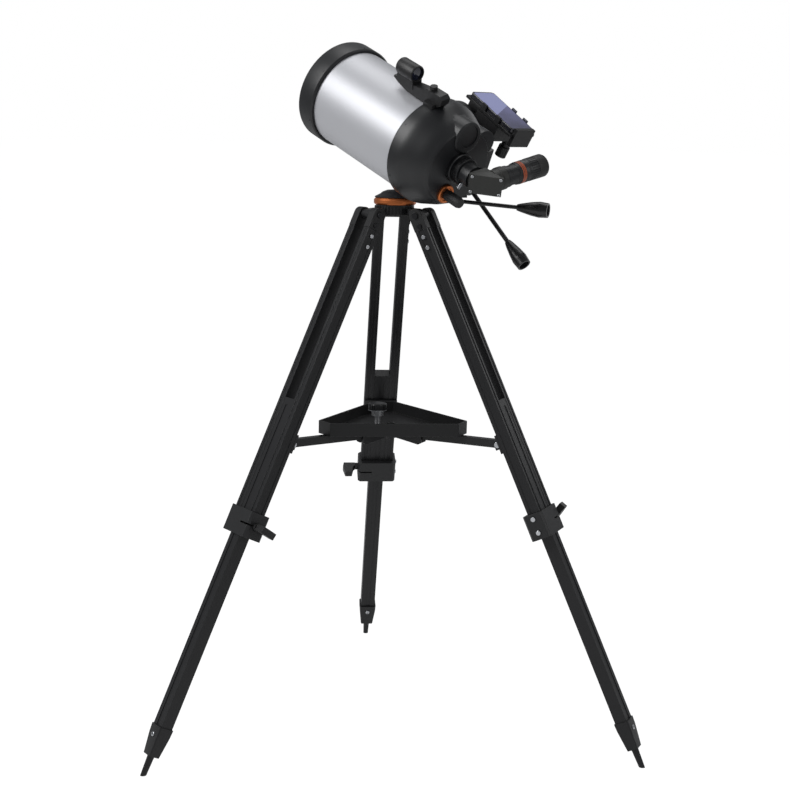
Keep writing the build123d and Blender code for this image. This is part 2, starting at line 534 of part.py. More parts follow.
# ---------------------------------------------------------------- finder
FIND = spot(TUBE, 0, 0, 0, across=(math.cos(math.radians(20)), math.sin(math.radians(20)), 0))
FIND_SIDE = spot(FIND, 0, 0, 0, toward=(-1, 0, 0), across=(0, 0, 1))

with BuildPart() as finder_bracket:
    slab(FIND_SIDE, [(89, 92), (112, 92), (124, 100), (128, 112), (122, 117), (88, 117), (78, 112), (50, 108), (2, 107),
                     (0, 103), (14, 96), (36, 90), (60, 88), (86, 88)], 9, both=True)
    slab(FIND_SIDE, [(89, 90), (112, 90), (112, 98), (89, 98)], 17, both=True)
    slab(FIND_SIDE, [(10, 100), (52, 100), (52, 116), (10, 116)], 10, both=True)
    disc(spot(TUBE, 0, 0, 86.4), CELL_R + 0.05, 60, Mode.SUBTRACT)
    disc(spot(FIND, 0, FINDER_UP, -20), FINDER_R + RUN, 90, Mode.SUBTRACT)
    disc(spot(FIND, 0, 106, 96, toward=(0, 1, 0)), 3 + RUN, 20, Mode.SUBTRACT)
save(finder_bracket, "finder_bracket")

with BuildPart() as finder_tube:
    at = spot(FIND, 0, FINDER_UP, 11)
    turned(at, [(12, 0), (14.2, 0), (FINDER_R, 2), (FINDER_R, 40), (14.2, 42), (12, 42)])
    turned(at, [(0, 4), (12.1, 4), (12.1, 6.5), (0, 6.5)])
save(finder_tube, "finder_tube")

with BuildPart() as finder_knob:
    at = spot(FIND, 0, 117.4, 96, toward=(0, 1, 0))
    disc(spot(at, 0, 0, -9), 3, 12)
    disc(at, 6.5, 6)
    grooves(at, 6.5, 0.6, 12, 6, 1.4)
save(finder_knob, "finder_knob")

# ---------------------------------------------------------------- phone dock
PHONE_W = 58.0
PHONE_L = 122.0
PHONE_T = 8.0
SHELF_TOP = -9.8        # heights in the phone's own frame, from the middle of its thickness
SHELF_LOW = -38.0
DECK_LOW = -9.5
PHONE = spot(TUBE, 188, 57, 58, toward=(0, 0.985, 0.174), across=(1, 0, 0))

with BuildPart() as dock_bracket:
    disc(SIDE.offset(ARM_OUT + 0.6), 28, 9)
    arm = spot(TUBE, ARM_OUT + 0.6, 0, 0, toward=(1, 0, 0), across=(0, 0, -1))
    slab(arm, [(14, 24), (-20, 40), (-88, 30), (-88, 18), (-34, 8), (-22, -14), (14, -20)], 9)
    block(spot(PHONE, -6.7, -6, SHELF_LOW), 57.4, 60, SHELF_TOP - SHELF_LOW)
    disc(SIDE.offset(ARM_OUT - 2), SHAFT_R, 14, Mode.SUBTRACT)
    knob_at = spot(PHONE, 14, -30, SHELF_LOW, toward=(0, 0, -1))
    disc(knob_at, 8, 13)
    disc(spot(knob_at, 0, 0, -8), 4 + RUN, 22, Mode.SUBTRACT)
save(dock_bracket, "dock_bracket")

with BuildPart() as dock_platform:
    block(spot(PHONE, 0, 0, DECK_LOW), 66, PHONE_L + 6, 5)
    for y in (-24, 16):
        block(spot(PHONE, -PHONE_W / 2 - 2.2, y, DECK_LOW), 3.6, 12, 16)
    block(spot(PHONE, 0, -PHONE_L / 2 - 4.2, -28), 48, 8, 35)
    block(spot(PHONE, 0, 44.5, -42), 40, 36, 42 + DECK_LOW + 1)
    block(spot(PHONE, 0, 46, -39), 34, 36, 36 + DECK_LOW + 6, Mode.SUBTRACT)
save(dock_platform, "dock_platform")

with BuildPart() as dock_mirror:
    block(spot(PHONE, 0, 40, -27, toward=(0, 0.7071, 0.7071), across=(1, 0, 0)), 33, 30, 2)
save(dock_mirror, "dock_mirror")

# The sprung side of the clamp holds the phone against the fixed fingers.
with BuildPart() as dock_clamp:
    block(spot(PHONE, PHONE_W / 2 + 2.2, -8, -4.2), 3.6, 60, 5)
    for y in (-32, 0):
        block(spot(PHONE, PHONE_W / 2 + 2.2, y, -4.2), 3.6, 12, 11)
save(dock_clamp, "dock_clamp")

with BuildPart() as dock_knob:
    disc(spot(knob_at, 0, 0, -7), 4, 22)
    disc(spot(knob_at, 0, 0, 14), 10.5, 20)
    grooves(spot(knob_at, 0, 0, 15), 10.5, 0.9, 14, 18, 2.0)
save(dock_knob, "dock_knob")

with BuildPart() as phone:
    with BuildSketch(spot(PHONE, 0, 0, -PHONE_T / 2)) as outline:
        RectangleRounded(PHONE_W, PHONE_L, 7)
    extrude(outline.sketch, amount=PHONE_T)
    fillet(phone.faces().sort_by(Axis(PHONE.origin, PHONE.z_dir))[-1].edges(), 1.2)
save(phone, "phone")
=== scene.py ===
"""Dresses the Schmidt-Cassegrain telescope: softened edges, finishes, small hardware and a plain studio.

Metres, +Z up. Lengths in the dataclass fields are millimetres about each sub-assembly's own axes.
"""
import json
import logging
import math
from dataclasses import dataclass, field
from enum import Enum

import bmesh
import bpy
import numpy as np
from mathutils import Matrix, Vector


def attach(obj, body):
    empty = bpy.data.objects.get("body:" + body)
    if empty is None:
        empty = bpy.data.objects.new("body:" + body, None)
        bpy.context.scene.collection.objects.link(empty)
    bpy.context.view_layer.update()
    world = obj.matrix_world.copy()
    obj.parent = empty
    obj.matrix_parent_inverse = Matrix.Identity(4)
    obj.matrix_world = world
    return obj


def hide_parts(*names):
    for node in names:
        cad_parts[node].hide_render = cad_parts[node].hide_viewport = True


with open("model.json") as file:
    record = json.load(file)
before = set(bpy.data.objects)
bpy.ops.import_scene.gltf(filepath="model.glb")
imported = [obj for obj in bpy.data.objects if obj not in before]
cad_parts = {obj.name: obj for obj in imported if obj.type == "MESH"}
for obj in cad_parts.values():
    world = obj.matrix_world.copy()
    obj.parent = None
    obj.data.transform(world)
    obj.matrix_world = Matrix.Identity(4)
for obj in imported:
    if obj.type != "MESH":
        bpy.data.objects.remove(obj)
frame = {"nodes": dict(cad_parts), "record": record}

LOG = logging.getLogger("telescope")
MM = 0.001
AXIS_X = 91.882         # the azimuth axis in the row's frame
AXIS_Y = 35.873
TUBE_H = 1090.0
TILT = math.radians(22.75)
LEG_ANGLES = {"rear": 51.7, "left": 171.7, "right": 291.7}
LEG_BOLT_R = 53.5       # the leg bolts' distance from the azimuth axis, and their height
LEG_BOLT_H = 939.0
LEG_FOOT_R = 497.0      # where a leg's axis meets the floor
OUTLINE_STEPS = 64
CROWN_STEPS = 6
HEAD_STEPS = 20
LENS_STEPS = 12
LENS_AROUND = 48
LENS_EDGE = 0.6         # a lens is this thick at its edge
OFF_AXIS = 1e-6         # keeps an outline's angles off the axes, where the corner's sign is zero
WELD_NEW = 1e-7         # metres, as are the next two lengths
WELD_CAD = 2e-6
BUMP_REACH = 0.0002
FLAT_ANGLE = math.radians(0.2)
SHARP_NEW = math.radians(35)
SHARP_CAD = math.radians(32)
BEVEL_FROM = math.radians(35)
MIX_FACTOR, MIX_A, MIX_B, MIX_COLOR = 0, 6, 7, 2    # the colour sockets of a Mix node

BODIES = frame["record"]["behaviour"]["bodies"]
NODE_BODY = {node: body for body, nodes in BODIES.items() for node in nodes}


class Relief(Enum):
    """Names the small relief that a finish carries."""

    GRAIN = "grain"
    RIDGES = "ridges"


class Split(Enum):
    """Says on which side of a height a second tone is used."""

    NONE = "none"
    ABOVE = "above"
    BELOW = "below"


@dataclass(frozen=True)
class Axes:
    """A local frame in millimetres: where it starts and its three directions."""

    origin: tuple[float, float, float]
    x: tuple[float, float, float]
    z: tuple[float, float, float]

    def matrix(self) -> np.ndarray:
        """Gives the three directions as the rows of an array, with y the cross product of z and x."""
        x = np.array(self.x) / np.linalg.norm(self.x)
        z = np.array(self.z) / np.linalg.norm(self.z)
        return np.array([x, np.cross(z, x), z])

    def place(self, points: np.ndarray) -> np.ndarray:
        """Moves local points in millimetres to the row's frame in metres.

        Args:
            points: An array whose last axis is (x, y, z).

        Returns:
            The same array in metres: origin + x·X + y·Y + z·Z.
        """
        return (np.array(self.origin) + points @ self.matrix()) * MM

    def at(self, x: float, y: float, z: float, toward: tuple[float, float, float] = (0, 0, 1),
           across: tuple[float, float, float] = (1, 0, 0)) -> "Axes":
        """Gives the frame at a local point, with its directions given locally.

        Args:
            x: Local x of the new origin.
            y: Local y of the new origin.
            z: Local z of the new origin.
            toward: The new z direction.
            across: The new x direction.

        Returns:
            The new frame.
        """
        rows = self.matrix()
        start = np.array(self.origin) + np.array([x, y, z]) @ rows
        return Axes(tuple(start), tuple(np.array(across) @ rows), tuple(np.array(toward) @ rows))


TUBE = Axes((AXIS_X, AXIS_Y, TUBE_H), (1, 0, 0), (0, -math.cos(TILT), -math.sin(TILT)))


def leg_axes(angle: float) -> Axes:
    """Gives a leg's frame: its origin on the bolt, z down the leg, y outward and x to its side.

    Args:
        angle: The leg's compass angle in degrees.

    Returns:
        The frame in the row's millimetres.
    """
    a = math.radians(angle)
    splay = math.atan2(LEG_FOOT_R - LEG_BOLT_R, LEG_BOLT_H)
    out = (math.cos(a), math.sin(a))
    start = (AXIS_X + LEG_BOLT_R * out[0], AXIS_Y + LEG_BOLT_R * out[1], LEG_BOLT_H)
    down = (out[0] * math.sin(splay), out[1] * math.sin(splay), -math.cos(splay))
    return Axes(start, (-out[1], out[0], 0), down)


def even_turns(count: int) -> list[float]:
    """Spaces a number of angles evenly over a turn, starting half a step in.

    Args:
        count: How many there are.

    Returns:
        The angles in radians.
    """
    return [math.radians(360 / count * (k + 0.5)) for k in range(count)]


# ---------------------------------------------------------------- shared shader groups
def socket(group: bpy.types.NodeTree, name: str, kind: str, way: str, value: object = None) -> None:
    """Adds one named socket to a shader group.

    Args:
        group: The group's tree.
        name: The socket's name.
        kind: The socket type without its NodeSocket prefix.
        way: INPUT or OUTPUT.
        value: The default, where there is one.
    """
    made = group.interface.new_socket(name=name, in_out=way, socket_type="NodeSocket" + kind)
    if value is not None:
        made.default_value = value


def uneven_surface() -> bpy.types.NodeTree:
    """Builds the group that varies a finish: a broad cloudy tone, a fine grain and a spread of roughness.

    Returns:
        A group with Color, Roughness and Height outputs.
    """
    group = bpy.data.node_groups.new("Uneven Surface", "ShaderNodeTree")
    socket(group, "Color", "Color", "INPUT", (0.5, 0.5, 0.5, 1))
    socket(group, "Tone", "Float", "INPUT", 0.1)
    socket(group, "Roughness", "Float", "INPUT", 0.4)
    socket(group, "Spread", "Float", "INPUT", 0.05)
    socket(group, "Grain Size", "Float", "INPUT", 900.0)
    socket(group, "Color", "Color", "OUTPUT")
    socket(group, "Roughness", "Float", "OUTPUT")
    socket(group, "Height", "Float", "OUTPUT")
    nodes, links = group.nodes, group.links
    source, sink = nodes.new("NodeGroupInput"), nodes.new("NodeGroupOutput")
    place = nodes.new("ShaderNodeTexCoord")
    broad, grain = nodes.new("ShaderNodeTexNoise"), nodes.new("ShaderNodeTexNoise")
    broad.inputs["Scale"].default_value = 9.0
    broad.inputs["Detail"].default_value = 4.0
    links.new(place.outputs["Object"], broad.inputs["Vector"])
    links.new(place.outputs["Object"], grain.inputs["Vector"])
    links.new(source.outputs["Grain Size"], grain.inputs["Scale"])
    swing = nodes.new("ShaderNodeMath")
    swing.operation = "SUBTRACT"
    swing.inputs[1].default_value = 0.5
    links.new(broad.outputs["Fac"], swing.inputs[0])
    shade = nodes.new("ShaderNodeMath")
    shade.operation = "MULTIPLY_ADD"
    shade.inputs[2].default_value = 1.0
    links.new(swing.outputs[0], shade.inputs[0])
    links.new(source.outputs["Tone"], shade.inputs[1])
    tint = nodes.new("ShaderNodeVectorMath")
    tint.operation = "SCALE"
    links.new(source.outputs["Color"], tint.inputs[0])
    links.new(shade.outputs[0], tint.inputs["Scale"])
    rough = nodes.new("ShaderNodeMath")
    rough.operation = "MULTIPLY_ADD"
    links.new(swing.outputs[0], rough.inputs[0])
    links.new(source.outputs["Spread"], rough.inputs[1])
    links.new(source.outputs["Roughness"], rough.inputs[2])
    links.new(tint.outputs[0], sink.inputs["Color"])
    links.new(rough.outputs[0], sink.inputs["Roughness"])
    links.new(grain.outputs["Fac"], sink.inputs["Height"])
    return group


def drawn_ridges() -> bpy.types.NodeTree:
    """Builds the group for drawn profiles: fine ridges that run along a leg.

    The height is the sine of the point's distance along the Across direction, over the Pitch.

    Returns:
        A group with a Height output.
    """
    group = bpy.data.node_groups.new("Drawn Ridges", "ShaderNodeTree")
    socket(group, "Across", "Vector", "INPUT", (1, 0, 0))
    socket(group, "Pitch", "Float", "INPUT", 0.0034)
    socket(group, "Height", "Float", "OUTPUT")
    nodes, links = group.nodes, group.links
    source, sink = nodes.new("NodeGroupInput"), nodes.new("NodeGroupOutput")
    place, along = nodes.new("ShaderNodeTexCoord"), nodes.new("ShaderNodeVectorMath")
    along.operation = "DOT_PRODUCT"
    links.new(place.outputs["Object"], along.inputs[0])
    links.new(source.outputs["Across"], along.inputs[1])
    turns, phase, wave = (nodes.new("ShaderNodeMath") for _ in range(3))
    turns.operation, phase.operation, wave.operation = "DIVIDE", "MULTIPLY", "SINE"
    phase.inputs[1].default_value = 2 * math.pi
    links.new(along.outputs["Value"], turns.inputs[0])
    links.new(source.outputs["Pitch"], turns.inputs[1])
    links.new(turns.outputs[0], phase.inputs[0])
    links.new(phase.outputs[0], wave.inputs[0])
    links.new(wave.outputs[0], sink.inputs["Height"])
    return group


UNEVEN = uneven_surface()
RIDGED = drawn_ridges()


# ---------------------------------------------------------------- finishes
@dataclass(frozen=True)
class Finish:
    """One procedural finish, with an optional second tone past a height or in rings along an axis."""

    name: str
    color: tuple[float, float, float]
    roughness: float = 0.4
    metallic: float = 0.0
    coat: float = 0.0
    coat_roughness: float = 0.1
    specular: float = 0.5
    transmission: float = 0.0
    glow: float = 0.0
    tone: float = 0.25
    spread: float = 0.1
    grain: float = 900.0
    depth: float = 0.04
    relief: Relief = Relief.GRAIN
    across: tuple[float, float, float] = (1.0, 0.0, 0.0)
    split: Split = Split.NONE
    split_at: float = 0.0
    second: tuple[float, float, float] = (0.5, 0.5, 0.5)
    second_metallic: float = 0.0
    rings: tuple[float, ...] = ()
    along_axis: tuple[float, float, float] = (0.0, 0.0, 1.0)
    ring_width: float = 0.0006

    def material(self) -> bpy.types.Material:
        """Builds the material once and gives it back after that.

        Returns:
            The material that carries this finish.
        """
        known = bpy.data.materials.get(self.name)
        if known is not None:
            return known
        made = bpy.data.materials.new(self.name)
        made.use_nodes = True
        nodes, links = made.node_tree.nodes, made.node_tree.links
        shader = nodes["Principled BSDF"]
        shader.inputs["Metallic"].default_value = self.metallic
        shader.inputs["Coat Weight"].default_value = self.coat
        shader.inputs["Coat Roughness"].default_value = self.coat_roughness
        shader.inputs["Specular IOR Level"].default_value = self.specular
        shader.inputs["Transmission Weight"].default_value = self.transmission
        if self.even():
            shader.inputs["Base Color"].default_value = (*self.color, 1)
            shader.inputs["Roughness"].default_value = self.roughness
            return made
        surface = nodes.new("ShaderNodeGroup")
        surface.node_tree = UNEVEN
        surface.inputs["Color"].default_value = (*self.color, 1)
        surface.inputs["Tone"].default_value = self.tone
        surface.inputs["Roughness"].default_value = self.roughness
        surface.inputs["Spread"].default_value = self.spread
        surface.inputs["Grain Size"].default_value = self.grain
        links.new(surface.outputs["Roughness"], shader.inputs["Roughness"])
        color = surface.outputs["Color"]
        mask = self.mask(made.node_tree)
        if mask is not None:
            color = self.blend(made.node_tree, mask, color, shader)
        links.new(color, shader.inputs["Base Color"])
        if self.glow > 0:
            links.new(color, shader.inputs["Emission Color"])
            shader.inputs["Emission Strength"].default_value = self.glow
        if self.depth == 0:
            return made
        bump = nodes.new("ShaderNodeBump")
        bump.inputs["Strength"].default_value = self.depth
        bump.inputs["Distance"].default_value = BUMP_REACH
        height = surface.outputs["Height"]
        if self.relief is Relief.RIDGES:
            ridges = nodes.new("ShaderNodeGroup")
            ridges.node_tree = RIDGED
            ridges.inputs["Across"].default_value = self.across
            height = ridges.outputs["Height"]
        links.new(height, bump.inputs["Height"])
        links.new(bump.outputs["Normal"], shader.inputs["Normal"])
        return made

    def even(self) -> bool:
        """Says whether the finish is the same all over, so that the shader's own sockets hold it.

        Returns:
            True where nothing varies: no tone, spread, depth, glow, split or rings.
        """
        varies = self.tone or self.spread or self.depth or self.glow or self.rings
        return not varies and self.split is Split.NONE

    def mask(self, tree: bpy.types.NodeTree) -> bpy.types.NodeSocket | None:
        """Works out where the second tone lies.

        Args:
            tree: The material's tree.

        Returns:
            A 0 or 1 socket, or None where the finish has one tone.
        """
        nodes, links = tree.nodes, tree.links
        if self.split is Split.NONE and not self.rings:
            return None
        place, along = nodes.new("ShaderNodeTexCoord"), nodes.new("ShaderNodeVectorMath")
        along.operation = "DOT_PRODUCT"
        along.inputs[1].default_value = self.along_axis
        links.new(place.outputs["Object"], along.inputs[0])
        if self.split is not Split.NONE:
            side = nodes.new("ShaderNodeMath")
            side.operation = "GREATER_THAN" if self.split is Split.ABOVE else "LESS_THAN"
            side.inputs[1].default_value = self.split_at
            links.new(along.outputs["Value"], side.inputs[0])
            return side.outputs[0]
        total = None
        for ring in self.rings:
            near = nodes.new("ShaderNodeMath")
            near.operation = "COMPARE"
            near.inputs[1].default_value = ring
            near.inputs[2].default_value = self.ring_width
            links.new(along.outputs["Value"], near.inputs[0])
            if total is None:
                total = near.outputs[0]
                continue
            both = nodes.new("ShaderNodeMath")
            both.operation = "MAXIMUM"
            links.new(total, both.inputs[0])
            links.new(near.outputs[0], both.inputs[1])
            total = both.outputs[0]
        return total

    def blend(self, tree: bpy.types.NodeTree, mask: bpy.types.NodeSocket, first: bpy.types.NodeSocket,
              shader: bpy.types.Node) -> bpy.types.NodeSocket:
        """Mixes the second tone in by a mask, for the colour and the metal.

        Args:
            tree: The material's tree.
            mask: The 0 or 1 socket.
            first: The first colour.
            shader: The Principled BSDF whose Metallic the mask sets.

        Returns:
            The mixed colour's socket.
        """
        mix = tree.nodes.new("ShaderNodeMix")
        mix.data_type = "RGBA"
        mix.inputs[MIX_B].default_value = (*self.second, 1)
        tree.links.new(mask, mix.inputs[MIX_FACTOR])
        tree.links.new(first, mix.inputs[MIX_A])
        metal = tree.nodes.new("ShaderNodeMapRange")
        metal.inputs["To Min"].default_value = self.metallic
        metal.inputs["To Max"].default_value = self.second_metallic
        tree.links.new(mask, metal.inputs["Value"])
        tree.links.new(metal.outputs[0], shader.inputs["Metallic"])
        return mix.outputs[MIX_COLOR]


FRAME_BLACK = Finish("frame black satin", (0.007, 0.007, 0.0078), 0.40, coat=0.08, specular=0.4, grain=700,
                     depth=0.05)
PLASTIC = Finish("moulded black", (0.0075, 0.0075, 0.008), 0.46, specular=0.4, grain=1500, depth=0.08)
CLAMP_PLASTIC = Finish("clamp black", (0.010, 0.0102, 0.011), 0.42, specular=0.4, grain=1500, depth=0.08)
CELL_BLACK = Finish("cell satin black", (0.0065, 0.007, 0.0082), 0.42, coat=0.08, coat_roughness=0.4,
                    specular=0.42, grain=1100, depth=0.06)
SILVER = Finish("tube satin silver", (0.46, 0.465, 0.49), 0.44, metallic=0.40, coat=0.15, coat_roughness=0.35,
                tone=0.03, spread=0.03, grain=2600, depth=0.03)
COPPER = Finish("copper anodised", (0.56, 0.165, 0.052), 0.32, metallic=0.85, tone=0.05, grain=1800,
                depth=0.03)
STEEL = Finish("bright steel", (0.48, 0.49, 0.51), 0.30, metallic=1.0, tone=0.1, grain=2000, depth=0.02)
DARK_SCREW = Finish("blackened screw", (0.045, 0.045, 0.048), 0.34, metallic=0.8, tone=0.1, depth=0.0)
BOLTS = Finish("bolts dark above", (0.55, 0.56, 0.58), 0.28, metallic=1.0, tone=0.1, depth=0.02,
               split=Split.ABOVE, split_at=0.912, second=(0.02, 0.02, 0.022), second_metallic=0.6)
RUBBER = Finish("ribbed rubber", (0.009, 0.009, 0.0095), 0.58, grain=1300, depth=0.10)
GRIP = Finish("grip gloss black", (0.006, 0.006, 0.0065), 0.34, coat=0.1, coat_roughness=0.2, specular=0.45,
              depth=0.0)
MIRROR = Finish("mirror coating", (0.90, 0.91, 0.93), 0.04, metallic=1.0, tone=0.0, spread=0.0, depth=0.0)
GLASS = Finish("corrector glass", (0.96, 0.99, 0.98), 0.02, transmission=1.0, tone=0.0, spread=0.0, depth=0.0)
LENS = Finish("coated lens", (0.006, 0.008, 0.020), 0.05, coat=1.0, coat_roughness=0.03, tone=0.2, depth=0.0)
PHONE_SHELL = Finish("phone shell", (0.012, 0.012, 0.016), 0.22, coat=0.3, depth=0.02)
SCREEN = Finish("phone screen", (0.060, 0.060, 0.125), 0.12, coat=0.6, coat_roughness=0.06, glow=0.35,
                tone=5.5, spread=0.02, depth=0.0, split=Split.ABOVE, split_at=0.4045,
                along_axis=(-0.50, 0.70, 0.51), second=(0.22, 0.235, 0.42))
FINGER = Finish("clamp finger blue black", (0.012, 0.014, 0.030), 0.34, depth=0.05)
TRAY_KNOB = Finish("knob cap over chrome stud", (0.010, 0.010, 0.011), 0.34, depth=0.05, split=Split.BELOW,
                   split_at=0.5862, second=(0.75, 0.76, 0.78), second_metallic=1.0)
DIAGONAL_BLACK = Finish("diagonal olive black", (0.013, 0.0135, 0.0115), 0.50, grain=1500, depth=0.10)


def rail_finish(leg: str) -> Finish:
    """Gives the ridged black of one leg's rails, whose ridges run along that leg.

    Args:
        leg: The leg's name.

    Returns:
        The finish, with its ridges set across the leg's two side directions.
    """
    rows = leg_axes(LEG_ANGLES[leg]).matrix()
    return Finish(f"rail black {leg}", (0.009, 0.009, 0.010), 0.40, depth=0.06, specular=0.35,
                  relief=Relief.RIDGES, across=tuple(rows[0] + rows[1]), tone=0.35)


# ---------------------------------------------------------------- mesh makers
def new_piece(name: str, points: np.ndarray, faces: np.ndarray, body: str,
              finish: Finish) -> bpy.types.Object:
    """Puts arrays of points and quads into a new smooth piece and sets it riding on its body.

    Args:
        name: The piece's name.
        points: N × 3 metres.
        faces: M × 4 indices, outward.
        body: The body it rides on.
        finish: Its finish.

    Returns:
        The new object.
    """
    mesh = bpy.data.meshes.new(name)
    mesh.from_pydata(points.tolist(), [], faces.tolist())
    work = bmesh.new()
    work.from_mesh(mesh)
    bmesh.ops.remove_doubles(work, verts=work.verts, dist=WELD_NEW)
    bmesh.ops.recalc_face_normals(work, faces=work.faces)
    work.to_mesh(mesh)
    work.free()
    mesh.shade_smooth()
    mesh.set_sharp_from_angle(angle=SHARP_NEW)
    mesh.materials.append(finish.material())
    made = bpy.data.objects.new(name, mesh)
    bpy.context.scene.collection.objects.link(made)
    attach(made, body)
    return made


def turned_points(seat: Axes, profile: list[tuple[float, float]],
                  around: int) -> tuple[np.ndarray, np.ndarray]:
    """Turns a closed profile about a frame's z axis.

    The point at angle u and profile step v is (r(v) cos u, r(v) sin u, h(v)).

    Args:
        seat: The frame it stands on.
        profile: A closed loop of (radius, height), or a line from the axis back to the axis.
        around: How many steps there are in a turn.

    Returns:
        The points in metres and the quads between neighbours.
    """
    radius, height = np.array(profile).T
    u = np.linspace(0, 2 * math.pi, around, endpoint=False)[:, None]
    grid = np.stack([radius * np.cos(u), radius * np.sin(u), height + 0 * u], axis=-1)
    steps = len(profile)
    i, j = np.meshgrid(np.arange(around), np.arange(steps - 1), indexing="ij")
    a, b = i * steps + j, ((i + 1) % around) * steps + j
    quads = np.stack([a, b, b + 1, a + 1], axis=-1).reshape(-1, 4)
    return seat.place(grid.reshape(-1, 3)), quads


def socket_heads(name: str, seats: list[Axes], radius: float, height: float, body: str,
                 finish: Finish = STEEL) -> bpy.types.Object:
    """Makes a group of button-headed socket screws as one piece.

    Each is a turned profile: a flat socket floor, its wall, a rounded crown and a short side.

    Args:
        name: The piece's name.
        seats: A frame for each head, z outward.
        radius: The head's radius.
        height: The head's height.
        body: The body they ride on.
        finish: Their finish.

    Returns:
        The new object.
    """
    flat, side, socket_floor, socket_r, mouth_r = 0.62, 0.45, 0.35, 0.40, 0.42
    bend = np.linspace(0, math.pi / 2, CROWN_STEPS)
    crown = [(radius * (flat + (1 - flat) * math.sin(t)), height * (side + (1 - side) * math.cos(t)))
             for t in bend]
    profile = [(0.0, socket_floor * height), (socket_r * radius, socket_floor * height),
               (mouth_r * radius, height), *crown, (radius, 0.0), (0.0, 0.0)]
    parts = [turned_points(seat, profile, HEAD_STEPS) for seat in seats]
    size = len(parts[0][0])
    points = np.concatenate([part[0] for part in parts])
    faces = np.concatenate([part[1] + size * k for k, part in enumerate(parts)])
    return new_piece(name, points, faces, body, finish)


def lens(name: str, seat: Axes, radius: float, rise: float, body: str) -> bpy.types.Object:
    """Makes a domed lens: its height falls with the square of the radius.

    Args:
        name: The piece's name.
        seat: The frame under it, z outward.
        radius: The lens radius.
        rise: The dome's height over its edge.
        body: The body it rides on.

    Returns:
        The new object.
    """
    r = np.linspace(0, radius, LENS_STEPS)
    dome = list(zip(r.tolist(), (rise * (1 - (r / radius) ** 2) + LENS_EDGE).tolist()))
    points, faces = turned_points(seat, [*dome, (radius, 0.0), (0.0, 0.0)], LENS_AROUND)
    return new_piece(name, points, faces, body, LENS)


def rounded_plate(name: str, seat: Axes, half: tuple[float, float], corner: float,
                  heights: tuple[float, float], body: str, finish: Finish) -> bpy.types.Object:
    """Makes a flat plate with rounded corners from rings of its outline.

    The outline at angle u is the corner's centre plus corner·(cos u, sin u); each ring is it, scaled.

    Args:
        name: The piece's name.
        seat: The plate's frame.
        half: Half its width and half its length.
        corner: The corner radius.
        heights: The low and the high side.
        body: The body it rides on.
        finish: Its finish.

    Returns:
        The new object.
    """
    u = np.linspace(0, 2 * math.pi, OUTLINE_STEPS + 1)[:-1] + OFF_AXIS
    edge = np.stack([np.sign(np.cos(u)) * (half[0] - corner) + corner * np.cos(u),
                     np.sign(np.sin(u)) * (half[1] - corner) + corner * np.sin(u)], axis=-1)
    scale = np.array([0.0, 1.0, 1.0, 0.0])
    level = np.array([heights[1], heights[1], heights[0], heights[0]])
    rings = len(scale)
    tall = np.broadcast_to(level[None, :, None], (OUTLINE_STEPS, rings, 1))
    grid = np.concatenate([edge[:, None] * scale[None, :, None], tall], axis=-1)
    i, j = np.meshgrid(np.arange(OUTLINE_STEPS), np.arange(rings - 1), indexing="ij")
    a, b = i * rings + j, ((i + 1) % OUTLINE_STEPS) * rings + j
    quads = np.stack([a, b, b + 1, a + 1], axis=-1).reshape(-1, 4)
    return new_piece(name, seat.place(grid.reshape(-1, 3)), quads, body, finish)


def softened(node: str, finish: Finish, edge: float) -> bpy.types.Object:
    """Replaces a CAD node by a merged copy with smooth curves and a small bevel on its sharp edges.

    Args:
        node: The node's name.
        finish: The finish it gets.
        edge: The bevel's width in millimetres.

    Returns:
        The copy.
    """
    mesh = frame["nodes"][node].data.copy()
    work = bmesh.new()
    work.from_mesh(mesh)
    bmesh.ops.remove_doubles(work, verts=work.verts, dist=WELD_CAD)
    bmesh.ops.dissolve_limit(work, angle_limit=FLAT_ANGLE, verts=work.verts, edges=work.edges)
    work.to_mesh(mesh)
    work.free()
    if "custom_normal" in mesh.attributes:
        mesh.attributes.remove(mesh.attributes["custom_normal"])
    mesh.shade_smooth()
    mesh.set_sharp_from_angle(angle=SHARP_CAD)
    mesh.materials.clear()
    mesh.materials.append(finish.material())
    made = bpy.data.objects.new(f"{node}_soft", mesh)
    bpy.context.scene.collection.objects.link(made)
    if edge > 0:
        bevel = made.modifiers.new("edge", "BEVEL")
        bevel.width = edge * MM
        bevel.segments = 2
        bevel.limit_method = "ANGLE"
        bevel.angle_limit = BEVEL_FROM
        bevel.harden_normals = True
    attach(made, NODE_BODY[node])
    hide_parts(node)
    return made


# ---------------------------------------------------------------- sub-assemblies
@dataclass
class SubAssembly:
    """What every sub-assembly has: its nodes with a finish and a bevel each, and the pieces it has made."""

    title: str = ""
    nodes: dict[str, tuple[Finish, float]] = field(default_factory=dict)
    made: list[bpy.types.Object] = field(default_factory=list)

    def dress(self) -> None:
        """Softens every node and gives it its finish."""
        for node, (finish, edge) in self.nodes.items():
            self.made.append(softened(node, finish, edge))
            LOG.info("%s: %s dressed", self.title, node)

    def detail(self) -> None:
        """Adds the small pieces that only some sub-assemblies have."""

    def build(self) -> None:
        """Dresses the nodes and adds the small pieces."""
        self.dress()
        self.detail()
        LOG.info("%s: %d pieces", self.title, len(self.made))


